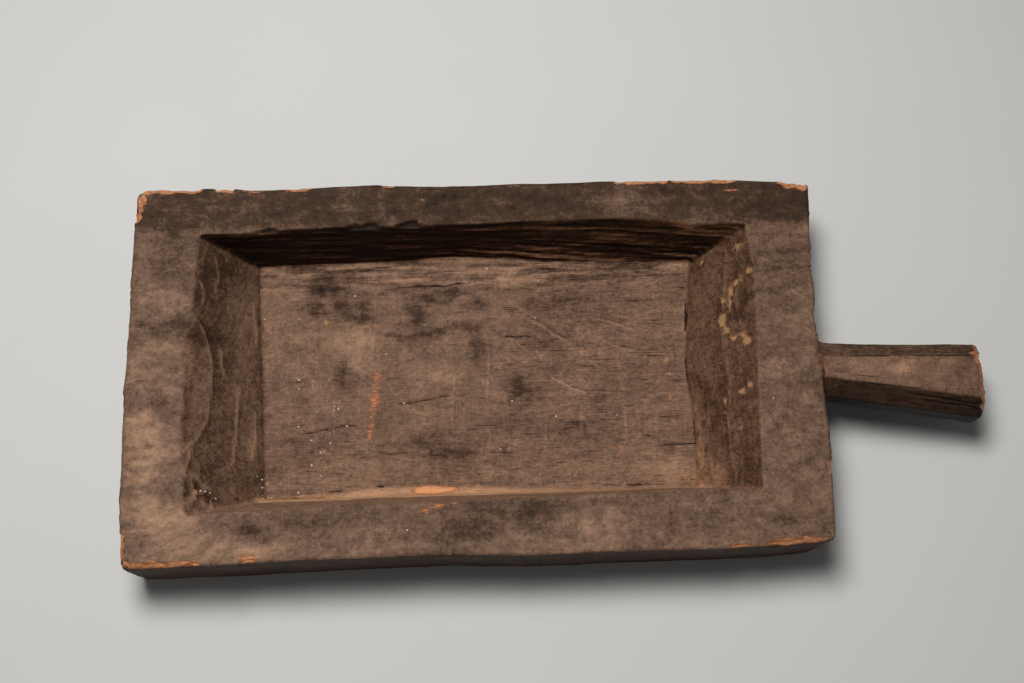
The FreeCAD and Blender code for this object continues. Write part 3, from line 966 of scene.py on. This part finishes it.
def grip_marks(points, normals, sizes):
    """The grip's points moved by its grooves, chips and handling, and what the wood is like at each point,
    with painted shade in the tone of its lower facets and in the hollow beside its root.
    """
    root_x, end_x = TRAY_HIGH.x / MM, GRIP_HIGH.x / MM
    hewn = sizes.hewn_depth / MM
    share = (points[:, 0] - root_x) / (end_x - root_x)
    facet = (np.arange(len(points)) % (8 * GRIP_FACET_POINTS)) / GRIP_FACET_POINTS
    waves = 0.5 * rough(points, (30.0, 16.0, 14.0), 800)
    fibres = 0.14 * rough(points, (16.0, 1.8, 1.8), 810, 2)
    height = hewn * (waves + fibres)
    height += 0.1 * rough(points, (4.0, 3.0, 3.0), 820, 2)
    crack = np.zeros(len(points))
    deep = np.zeros(len(points))
    for k, (corner, turn, start, end, width, depth) in enumerate(GRIP_GROOVES):
        waver = 0.05 * rough(points * (1, 0, 0), (22.0, 1.0, 1.0), 830 + 3 * k, 2)
        away = np.abs((facet - corner - turn - waver + 4.0) % 8.0 - 4.0)
        reach = np.sqrt(np.clip(4 * (share - start) * (end - share) / (end - start) ** 2, 0.0, 1.0))
        reach = reach * (0.75 + 0.4 * noise(points * (1, 0, 0), (7.0, 1.0, 1.0), 880 + k))
        inside = np.clip(1 - away / np.maximum(width * reach, 1e-6), 0.0, 1.0)
        deep = np.maximum(deep, depth * inside)
        crack = np.maximum(crack, np.clip(1.3 * inside, 0, 1) * (0.5 + 0.3 * depth))
    moved = points + normals * (height - deep)[:, None]
    # A hollow beside the root, where the tool's corner went in; its dark is a painted shadow of the rim's
    # edge on the grip's root.
    shaded_nick = blot(points, (232, -10, 69), (1.2, 5, 5))
    moved[:, 2] -= 1.5 * shaded_nick
    crack = np.maximum(crack, 0.75 * shaded_nick)
    bare = 0.45 * blot(moved, (285, -10, 67), (4, 2, 4))
    for k, (spot, outward_way, run, half, bite) in enumerate(GRIP_CHIPS):
        cut = chip(moved, spot, outward_way, run, half, bite, 900 + 5 * k)
        moved -= np.outer(cut, np.asarray(outward_way) / np.linalg.norm(outward_way))
        bare = np.maximum(bare, np.clip(cut / 0.4, 0, 1.2))
    moved[:, 0] = np.minimum(moved[:, 0], end_x + 1.0)
    tones = np.array(FACET_HANDLING_AND_SHADE)
    corner = np.round(facet).astype(int)
    before, after = tones[(corner - 1) % 8], tones[corner % 8]
    tone = before + (after - before) * ease((facet - corner) / 0.16 + 0.5)
    tone += 0.4 * blot(moved, (286, -9, 67), (7, 4, 5)) + 0.12 * blot(moved, (270, -8, 67), (30, 7, 5))
    tone -= 0.1 * ease((share - 0.75) / 0.2)
    cove = ease(1.0 - share / 0.09)
    return moved, {
        "bare": bare,
        "crack": np.clip(crack, 0, 1),
        "tone": tone,
        "warm": 0.1 + 0.7 * cove,
        "grain": np.full(len(points), 0.3),
        "grit": np.zeros(len(points)),
        "clay": np.zeros(len(points)),
    }


# --- meshes -------------------------------------------------------------------------------------------------


def new_mesh(name, points, *face_sets):
    """A mesh from points in millimetres and one or more arrays of faces, each with its own corner count."""
    corners = np.concatenate([faces.ravel() for faces in face_sets]).astype(np.int32)
    counts = np.concatenate([np.full(len(faces), faces.shape[1]) for faces in face_sets])
    starts = np.cumsum(counts) - counts
    mesh = bpy.data.meshes.new(name)
    mesh.vertices.add(len(points))
    mesh.vertices.foreach_set("co", (points * MM).astype(np.float32).ravel())
    mesh.loops.add(len(corners))
    mesh.loops.foreach_set("vertex_index", corners)
    mesh.polygons.add(len(counts))
    mesh.polygons.foreach_set("loop_start", starts.astype(np.int32))
    mesh.update(calc_edges=True)
    if mesh.validate():
        raise ValueError(f"{name} has broken faces")
    return mesh


def outward(mesh):
    """The outward direction at every point of a mesh."""
    normals = np.empty(3 * len(mesh.vertices), np.float32)
    mesh.vertices.foreach_get("normal", normals)
    return normals.reshape(-1, 3).astype(float)


def new_piece(mesh, points, wood, node_name):
    """The finished piece: points put in their final places, the wood's condition kept as attributes, and the
    object shown instead of its node of the frame."""
    mesh.vertices.foreach_set("co", (points * MM).astype(np.float32).ravel())
    for name, values in wood.items():
        layer = mesh.attributes.new(name, "FLOAT", "POINT")
        layer.data.foreach_set("value", np.asarray(values, np.float32))
    mesh.polygons.foreach_set("use_smooth", np.ones(len(mesh.polygons), bool))
    mesh.update()
    mesh.materials.append(wood_material(bpy.context.scene.feed_scoop))
    piece = bpy.data.objects.new(mesh.name, mesh)
    bpy.context.collection.objects.link(piece)
    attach(piece, "root")
    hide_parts(node_name)
    return piece


# --- the wood -----------------------------------------------------------------------------------------------


def linear(hex_colour):
    """An sRGB hex colour as linear red, green, blue and alpha."""
    channels = [int(hex_colour[k : k + 2], 16) / 255 for k in (1, 3, 5)]
    return [c / 12.92 if c <= 0.04045 else ((c + 0.055) / 1.055) ** 2.4 for c in channels] + [1.0]


def add(tree, kind, inputs=None, **settings):
    """Adds a node. Settings go on the node itself, and inputs gives sockets their values or what feeds
    them."""
    new = tree.nodes.new(kind)
    for name, value in settings.items():
        setattr(new, name, value)
    for name, value in (inputs or {}).items():
        if isinstance(value, bpy.types.NodeSocket):
            tree.links.new(value, new.inputs[name])
        else:
            new.inputs[name].default_value = value
    return new


# The wood's patterns, each as (size along X, Y and Z in mm, detail, distortion, roughness). Real fibres are
# 0.05 mm wide and pores 0.3 mm, too fine to show, so both are drawn at 1 mm or a little under.
WOOD_PATTERNS = {
    "stains": ((46, 34, 34), 6, 1.4, 0.62),  # damp and hands
    "mottle": ((9, 7, 7), 5, 0.7, 0.66),
    "crumbly": ((1.8, 1.4, 1.4), 3, 0.0, 0.62),
    "fibre": ((9, 0.95, 0.95), 3, 0.6, 0.6),
    "scraped": ((1.1, 20, 20), 2, 0.0, 0.5),  # strokes of a scraper, across the grain
    "ragged": ((4.5, 1.3, 1.3), 3, 0.3, 0.6),
    "checks": ((20, 0.8, 0.8), 2, 0.5, 0.5),  # fine drying cracks along the grain
    "clumps": ((2.6, 2.6, 2.6), 2, 0.5, 0.6),
}
# What covers the skin in places, each as (how much there is of it, the pattern that makes its edge uneven,
# how much that does, where it starts, where it is whole).
WOOD_COVERS = {
    "open checks": ("grain", "checks", 7.2, 5.5, 5.95),
    "mud": ("clay", "clumps", 1.0, 0.8, 1.15),
    "torn": ("bare", "ragged", 1.5, 1.25, 1.5),
    "split": ("crack", "ragged", 0.8, 0.72, 1.05),
}
# Sums of patterns and covers, each as (start, terms). A pattern runs round 0.5, and the start takes that off.
WOOD_SUMS = {
    "shade": (
        -1.27,
        (
            ("tone", 1.0),
            ("stains", 0.5),
            ("mottle", 0.78),
            ("crumbly", 0.52),
            ("clumps", 0.5),
            ("grainy", 1.0),
            ("scraped", 0.14),
            ("rings", 0.06),
            ("open checks", -0.42),
        ),
    ),
    "mud shade": (-1.15, (("mottle", 1.2), ("clay", 0.5), ("crumbly", 1.7))),
    "torn shade": (-1.72, (("ragged", 2.1), ("bare", 0.7), ("crumbly", 0.7))),
    "roughness": (0.52, (("mottle", 0.25), ("mud", 0.1), ("torn", 0.1))),
    "relief": (
        0.0,
        (
            ("grainy", 1.3),
            ("crumbly", 0.5),
            ("mottle", 1.2),
            ("scraped", 0.14),
            ("clumps", 0.3),
            ("open checks", -0.7),
            ("mud", 0.45),
            ("crumbs", 0.6),
        ),
    ),
}


# Growth rings lie 4 mm apart, about a heart well below the billet, and waver slowly along X.
RING_HEART, RING_STRETCH, RING_SCALE = (0, 0.05, 0.3), (0.08, 1, 1), 80.0
CRUMB_CELL = 3.0  # mm, with one crumb at most in each
CRUMB_RADII = (0.05, 0.24)  # as shares of a cell, so crumbs are 0.3 to 1.4 mm across
CRUMB_CHANCE = 0.4  # how many of the cells have their crumb where grit is 1
RELIEF_HEIGHT, RELIEF_STRENGTH = 0.75, 0.95  # mm, and how much of it the light takes up
WOOD_IOR, WOOD_SHINE = 1.5, 0.15  # dry wood has hardly any shine of its own


def wood_material(settings):
    """Aged hewn hardwood, open-grained, rubbed dark with handling and feed dust, with no varnish.

    To the eye: grey-brown and mottled from soot and painted shade to dusty tan, with short fibres along X,
    dark checks between them, orange-brown wood where a chip has come off, ochre mud and pale grit in the
    hollow, and a dry, dull surface all over. Its tone also carries painted light and shade: on the back wall,
    the outer sides and the grip's low facets it runs down to the darkest stop."""
    name = "aged hewn hardwood"
    if name in bpy.data.materials:
        return bpy.data.materials[name]
    material = bpy.data.materials.new(name)
    material.use_nodes = True
    tree = material.node_tree
    tree.nodes.clear()
    place = add(tree, "ShaderNodeTexCoord").outputs["Object"]
    colours = {name: (*getattr(settings, name), 1.0) for name in SKIN_COLOURS + COVER_COLOURS}

    layers = {}
    for name in ("bare", "crack", "tone", "warm", "grain", "grit", "clay"):
        layers[name] = add(tree, "ShaderNodeAttribute", attribute_name=name).outputs["Fac"]
    for name, (size_mm, detail, distortion, roughness) in WOOD_PATTERNS.items():
        cells = add(tree, "ShaderNodeMapping", {"Vector": place, "Scale": [1 / (s * MM) for s in size_mm]})
        inputs = {"Vector": cells.outputs["Vector"], "Scale": 1.0}
        inputs |= {"Detail": detail, "Distortion": distortion, "Roughness": roughness}
        layers[name] = add(tree, "ShaderNodeTexNoise", inputs).outputs["Fac"]

    inputs = {"Vector": place, "Location": RING_HEART, "Scale": RING_STRETCH}
    heart = add(tree, "ShaderNodeMapping", inputs).outputs["Vector"]
    inputs = {"Vector": heart, "Scale": RING_SCALE, "Distortion": 5.0, "Detail": 2.0}
    rings = add(tree, "ShaderNodeTexWave", inputs, wave_type="RINGS", rings_direction="X")
    layers["rings"] = rings.outputs["Fac"]

    # Fibres stand out as far as the grain is open: (fibre - 0.5) times grain.
    fibres = add(tree, "ShaderNodeMath", {0: layers["fibre"], 1: 0.5}, operation="SUBTRACT").outputs[0]
    inputs = {0: fibres, 1: layers["grain"]}
    layers["grainy"] = add(tree, "ShaderNodeMath", inputs, operation="MULTIPLY").outputs[0]

    for name, (amount, pattern, weight, start, whole) in WOOD_COVERS.items():
        inputs = {0: layers[pattern], 1: weight, 2: layers[amount]}
        reach = add(tree, "ShaderNodeMath", inputs, operation="MULTIPLY_ADD").outputs[0]
        inputs = {"Value": reach, "From Min": start, "From Max": whole}
        layers[name] = add(tree, "ShaderNodeMapRange", inputs).outputs["Result"]

    # Crumbs lie in as many of the cells as there is grit. The cells are drawn in plan, as upright columns.
    inputs = {"Vector": place, "Scale": [1 / (CRUMB_CELL * MM)] * 3}
    cells = add(tree, "ShaderNodeMapping", inputs).outputs["Vector"]
    crumb_cells = add(tree, "ShaderNodeTexVoronoi", {"Vector": cells, "Scale": 1.0}, voronoi_dimensions="2D")
    lot = add(tree, "ShaderNodeSeparateColor", {"Color": crumb_cells.outputs["Color"]})
    inputs = {"Value": lot.outputs["Green"], "To Min": CRUMB_RADII[0], "To Max": CRUMB_RADII[1]}
    size = add(tree, "ShaderNodeMapRange", inputs).outputs["Result"]
    inputs = {0: layers["grit"], 1: CRUMB_CHANCE}
    chance = add(tree, "ShaderNodeMath", inputs, operation="MULTIPLY").outputs[0]
    inputs = {0: crumb_cells.outputs["Distance"], 1: size}
    inside = add(tree, "ShaderNodeMath", inputs, operation="LESS_THAN").outputs[0]
    inputs = {0: lot.outputs["Red"], 1: chance}
    taken = add(tree, "ShaderNodeMath", inputs, operation="LESS_THAN").outputs[0]
    layers["crumbs"] = add(tree, "ShaderNodeMath", {0: inside, 1: taken}, operation="MULTIPLY").outputs[0]

    for name, (start, terms) in WOOD_SUMS.items():
        total = start
        for layer, weight in terms:
            inputs = {0: layers[layer], 1: weight, 2: total}
            total = add(tree, "ShaderNodeMath", inputs, operation="MULTIPLY_ADD").outputs[0]
        layers[name] = total

    inputs = {"Value": layers["shade"], "From Min": -1.0, "From Max": 1.0}
    share = add(tree, "ShaderNodeMapRange", inputs).outputs["Result"]
    skin = add(tree, "ShaderNodeValToRGB", {"Fac": share})
    ramp = skin.color_ramp
    while len(ramp.elements) < len(SKIN_COLOURS):
        ramp.elements.new(1.0)
    for element, position, colour in zip(ramp.elements, SKIN_STOPS, SKIN_COLOURS):
        element.position = position
        element.color = colours[colour]
    inputs = {"Fac": layers["warm"], "Color1": skin.outputs["Color"], "Color2": colours["reddening"]}
    look = add(tree, "ShaderNodeMixRGB", inputs, blend_type="MULTIPLY").outputs["Color"]
    for cover, shade, thin, thick in (
        ("mud", "mud shade", "clay_dark", "clay"),
        ("torn", "torn shade", "bare_dark", "bare"),
        ("split", "crumbly", "crack", "crack_lit"),
        ("crumbs", "crumbly", "grit_dark", "grit"),
    ):
        inputs = {"Fac": layers[shade], "Color1": colours[thin], "Color2": colours[thick]}
        paint = add(tree, "ShaderNodeMixRGB", inputs).outputs["Color"]
        inputs = {"Fac": layers[cover], "Color1": look, "Color2": paint}
        look = add(tree, "ShaderNodeMixRGB", inputs).outputs["Color"]

    inputs = {"Height": layers["relief"], "Distance": RELIEF_HEIGHT * MM, "Strength": RELIEF_STRENGTH}
    bump = add(tree, "ShaderNodeBump", inputs)
    inputs = {"Base Color": look, "Roughness": layers["roughness"], "Normal": bump.outputs["Normal"]}
    inputs |= {"IOR": WOOD_IOR, "Specular IOR Level": WOOD_SHINE}
    shader = add(tree, "ShaderNodeBsdfPrincipled", inputs)
    add(tree, "ShaderNodeOutputMaterial", {"Surface": shader.outputs["BSDF"]})
    return material


# --- settings that a user would change ----------------------------------------------------------------------


def length(name, description, millimetres):
    """A length property with its default given in millimetres."""
    return FloatProperty(
        name=name, description=description, default=millimetres * MM, min=0.0, precision=4, unit="LENGTH"
    )


def colour_of(name, description, hex_colour):
    """A colour property with its default given in sRGB hex."""
    start = linear(hex_colour)[:3]
    return FloatVectorProperty(
        name=name, description=description, default=start, size=3, min=0.0, max=1.0, subtype="COLOR"
    )


class ScoopSettings(bpy.types.PropertyGroup):
    """Sizes and colours of the scoop."""

    near_end_rim: length("Near end rim", "Rim left on the end away from the grip", 38.0)
    handle_end_rim: length("Grip end rim", "Rim left on the end that carries the grip", 42.5)
    front_rim: length("Front rim", "Rim left on the front side", 35.5)
    back_rim: length("Back rim", "Rim left on the back side", 29.5)
    opening_lean: length(
        "Opening lean", "How far the opening's front corners lie nearer to the near end", 5.0
    )
    floor_thickness: length("Floor thickness", "Wood left under the hollow", 26.0)
    near_end_wall_run: length("Near wall run", "How far the near end's wall slopes inwards", 43.5)
    handle_end_wall_run: length("Grip wall run", "How far the grip end's wall slopes inwards", 38.0)
    side_wall_run: length("Side wall run", "How far the long walls slope inwards", 11.5)
    floor_spread: length("Floor spread", "How far the floor's back corners lie outside its front ones", 4.0)
    wall_corner_radius: length("Hollow corner radius", "Upright corners of the hollow", 3.0)
    floor_fillet: length("Floor fillet", "Rounding where the walls meet the floor", 2.5)
    corner_radius: length("Corner radius", "Upright corners of the block", 4.0)
    edge_wear: length("Edge wear", "Rounding of the rim's outer edge", 2.0)
    lip_wear: length("Lip wear", "Rounding of the rim's inner edge", 0.8)
    base_chamfer: length("Base chamfer", "Worn edge of the underside", 3.0)
    underside_margin: length("Underside margin", "Strip round the underside that is drawn finely", 6.0)
    hewn_depth: length("Hewn depth", "Height of the unevenness that the tool left", 0.9)
    cove_run: length("Cove length", "How far along the grip the hollow curve at its root runs", 11.0)
    cove_rise: length("Cove rise", "How far that curve stands out round the grip", 6.0)
    root_sunk: length("Root sunk", "How far the grip's skin starts inside the tray", 4.0)
    end_chamfer: length("Grip end wear", "Rounding of the grip's free end", 2.6)
    # The darkest stop is both soot and painted shade: the tone brings the back wall, the outer sides and the
    # grip's low facets down to it as painted shade.
    soot_and_shade: colour_of("Soot", "The darkest skin, in corners and on the back wall", "#1d140d")
    dark: colour_of("Dark skin", "Skin darkened by handling", "#4b3526")
    middle: colour_of("Skin", "The common grey-brown skin", "#7c604d")
    light: colour_of("Light skin", "Skin bleached and rubbed", "#a58066")
    dusty: colour_of("Dusty skin", "Skin with feed dust in its grain", "#cba381")
    reddening: colour_of(
        "Reddening", "Tint of the walls and corners, which light and hands reach less", "#ffe4cc"
    )
    bare: colour_of("Bare wood", "Wood under a fresh chip", "#eda673")
    bare_dark: colour_of("Bare wood, dark", "The darker fibres of bare wood", "#8c5238")
    crack: colour_of("Crack", "The inside of cracks and checks", "#150d08")
    crack_lit: colour_of("Crack, shallow", "The inside of a crack where light reaches it", "#2e1f16")
    clay: colour_of("Clay", "Dried ochre mud", "#bc8d64")
    clay_dark: colour_of("Clay, dark", "Dried ochre mud where it is thin", "#8d684c")
    grit: colour_of("Grit", "Crumbs pressed into the grain", "#f0e4d2")
    grit_dark: colour_of("Grit, dark", "Crumbs that have gone grey", "#b9a48c")


SKIN_COLOURS = ("soot_and_shade", "dark", "middle", "light", "dusty")
SKIN_STOPS = (0.08, 0.32, 0.5, 0.68, 0.92)
COVER_COLOURS = (
    "reddening", "bare", "bare_dark", "crack", "crack_lit", "clay", "clay_dark", "grit", "grit_dark"
)


class StageSettings(bpy.types.PropertyGroup):
    """The light and the view."""

    key_power: FloatProperty(
        name="Key light", description="Power of the key light", default=15.0, min=0.0, unit="POWER"
    )
    fill_power: FloatProperty(
        name="Fill light", description="Power of the fill light", default=0.8, min=0.0, unit="POWER"
    )
    sky: FloatProperty(name="Sky", description="Strength of the light from all round", default=0.06, min=0.0)
    lens: FloatProperty(
        name="Lens", description="Focal length of the camera", default=50.0, min=1.0, unit="CAMERA"
    )
    floor_colour: colour_of("Floor", "The floor under the scoop", "#e2e0dc")


# --- operators ----------------------------------------------------------------------------------------------


class OBJECT_OT_scoop_tray(bpy.types.Operator):
    """Make the tray: the hewn block with its hollow"""

    bl_idname = "object.scoop_tray"
    bl_label = "Tray"

    def execute(self, context):
        sizes = context.scene.feed_scoop
        points, surface, four_sided, three_sided = tray_skin(sizes)
        mesh = new_mesh("hewn_tray", points, four_sided, three_sided)
        moved, wood = tray_marks(points, outward(mesh), surface, sizes)
        new_piece(mesh, moved, wood, "tray")
        return {"FINISHED"}


class OBJECT_OT_scoop_grip(bpy.types.Operator):
    """Make the grip: eight facets from the tray's end to a worn free end"""

    bl_idname = "object.scoop_grip"
    bl_label = "Grip"

    def execute(self, context):
        sizes = context.scene.feed_scoop
        points, four_sided, three_sided = grip_skin(sizes)
        mesh = new_mesh("faceted_grip", points, four_sided, three_sided)
        moved, wood = grip_marks(points, outward(mesh), sizes)
        new_piece(mesh, moved, wood, "handle")
        return {"FINISHED"}


FLOOR_HALF = 3.0  # the floor reaches this far each way, in metres
CAMERA_AZIMUTH, CAMERA_ELEVATION, CAMERA_ROLL = -9.27, 75.27, 7.68  # degrees
CAMERA_TARGET = Vector((0.0233, 0.0148, 0.072))
CAMERA_DISTANCE = 0.9474
SENSOR_WIDTH = 36.0  # mm
KEY_DIRECTION = Vector((-0.15, 0.2, 1.0)).normalized()
KEY_DISTANCE, KEY_SIZE = 1.3, 0.42
FILL_PLACE, FILL_SIZE = Vector((-1.1, -0.9, 0.9)), 1.2


def camera_turn():
    """The camera's turn: level at first, then swung to its azimuth and elevation and rolled."""
    azimuth, elevation, roll = (math.radians(a) for a in (CAMERA_AZIMUTH, CAMERA_ELEVATION, CAMERA_ROLL))
    level_share = math.cos(elevation)
    back = Vector((math.sin(azimuth) * level_share, -math.cos(azimuth) * level_share, math.sin(elevation)))
    right = Vector((math.cos(azimuth), math.sin(azimuth), 0.0))
    up = back.cross(right)
    rolled_right = right * math.cos(roll) + up * math.sin(roll)
    rolled_up = up * math.cos(roll) - right * math.sin(roll)
    return Matrix((rolled_right, rolled_up, back)).transposed()


def aim_light(name, place, size, power, target):
    """A square soft light at a place, facing a target."""
    lamp = bpy.data.lights.new(name, "AREA")
    lamp.shape = "SQUARE"
    lamp.size = size
    lamp.energy = power
    light = bpy.data.objects.new(name, lamp)
    light.location = place
    light.rotation_euler = (target - place).to_track_quat("-Z", "Y").to_euler()
    bpy.context.collection.objects.link(light)


class OBJECT_OT_scoop_stage(bpy.types.Operator):
    """Make the stage: a pale floor, soft lights and the camera"""

    bl_idname = "object.scoop_stage"
    bl_label = "Stage"

    def execute(self, context):
        scene = context.scene
        stage = scene.feed_scoop_stage
        corners = np.array([(-1, -1, 0), (1, -1, 0), (1, 1, 0), (-1, 1, 0)]) * FLOOR_HALF / MM
        corners[:, 2] = TRAY_LOW.z / MM
        floor = bpy.data.objects.new("floor", new_mesh("floor", corners, np.array([[0, 1, 2, 3]])))
        floor.data.materials.append(floor_material(stage))
        context.collection.objects.link(floor)

        target = Vector((0.0, 0.0, TRAY_HIGH.z))
        aim_light("key light", target + KEY_DIRECTION * KEY_DISTANCE, KEY_SIZE, stage.key_power, target)
        aim_light("fill light", FILL_PLACE, FILL_SIZE, stage.fill_power, target)
        world = bpy.data.worlds.new("studio")
        world.use_nodes = True
        world.node_tree.nodes["Background"].inputs["Color"].default_value = (1.0, 1.0, 1.0, 1.0)
        world.node_tree.nodes["Background"].inputs["Strength"].default_value = stage.sky
        scene.world = world

        camera = bpy.data.objects.new("camera", bpy.data.cameras.new("camera"))
        camera.data.lens = stage.lens
        camera.data.sensor_width = SENSOR_WIDTH
        turn = camera_turn()
        place = CAMERA_TARGET + turn.col[2] * CAMERA_DISTANCE
        camera.matrix_world = Matrix.Translation(place) @ turn.to_4x4()
        context.collection.objects.link(camera)
        scene.camera = camera
        scene.view_settings.view_transform = "Standard"
        return {"FINISHED"}


def floor_material(stage):
    """Matt painted board: pale and even, with a faint mottle so that it isn't dead flat."""
    material = bpy.data.materials.new("matt painted board")
    material.use_nodes = True
    tree = material.node_tree
    shader = tree.nodes["Principled BSDF"]
    place = add(tree, "ShaderNodeTexCoord").outputs["Object"]
    mottle = add(tree, "ShaderNodeTexNoise", {"Vector": place, "Scale": 9.0, "Detail": 3.0}).outputs["Fac"]
    ramp = add(tree, "ShaderNodeValToRGB", {"Fac": mottle})
    ramp.color_ramp.elements[0].color = (*[c * 0.96 for c in stage.floor_colour], 1.0)
    ramp.color_ramp.elements[1].color = (*stage.floor_colour, 1.0)
    tree.links.new(ramp.outputs["Color"], shader.inputs["Base Color"])
    shader.inputs["Roughness"].default_value = 0.9
    return material


class VIEW3D_PT_feed_scoop(bpy.types.Panel):
    """The scoop's settings and the operators that make its pieces"""

    bl_label = "Feed scoop"
    bl_space_type = "VIEW_3D"
    bl_region_type = "UI"
    bl_category = "Feed scoop"

    def draw(self, context):
        for operator in OPERATORS:
            self.layout.operator(operator.bl_idname)
        for settings in (context.scene.feed_scoop, context.scene.feed_scoop_stage):
            for name in settings.__annotations__:
                self.layout.prop(settings, name)


OPERATORS = (OBJECT_OT_scoop_tray, OBJECT_OT_scoop_grip, OBJECT_OT_scoop_stage)
CLASSES = (ScoopSettings, StageSettings, *OPERATORS, VIEW3D_PT_feed_scoop)


def register():
    """Add the classes and the settings to Blender."""
    for cls in CLASSES:
        bpy.utils.register_class(cls)
    bpy.types.Scene.feed_scoop = PointerProperty(type=ScoopSettings)
    bpy.types.Scene.feed_scoop_stage = PointerProperty(type=StageSettings)


def unregister():
    """Take the settings and the classes out of Blender again."""
    del bpy.types.Scene.feed_scoop_stage
    del bpy.types.Scene.feed_scoop
    for cls in reversed(CLASSES):
        bpy.utils.unregister_class(cls)


def main():
    """Make every piece and the stage."""
    register()
    bpy.ops.object.scoop_tray()
    bpy.ops.object.scoop_grip()
    bpy.ops.object.scoop_stage()


if __name__ == "__main__":
    main()
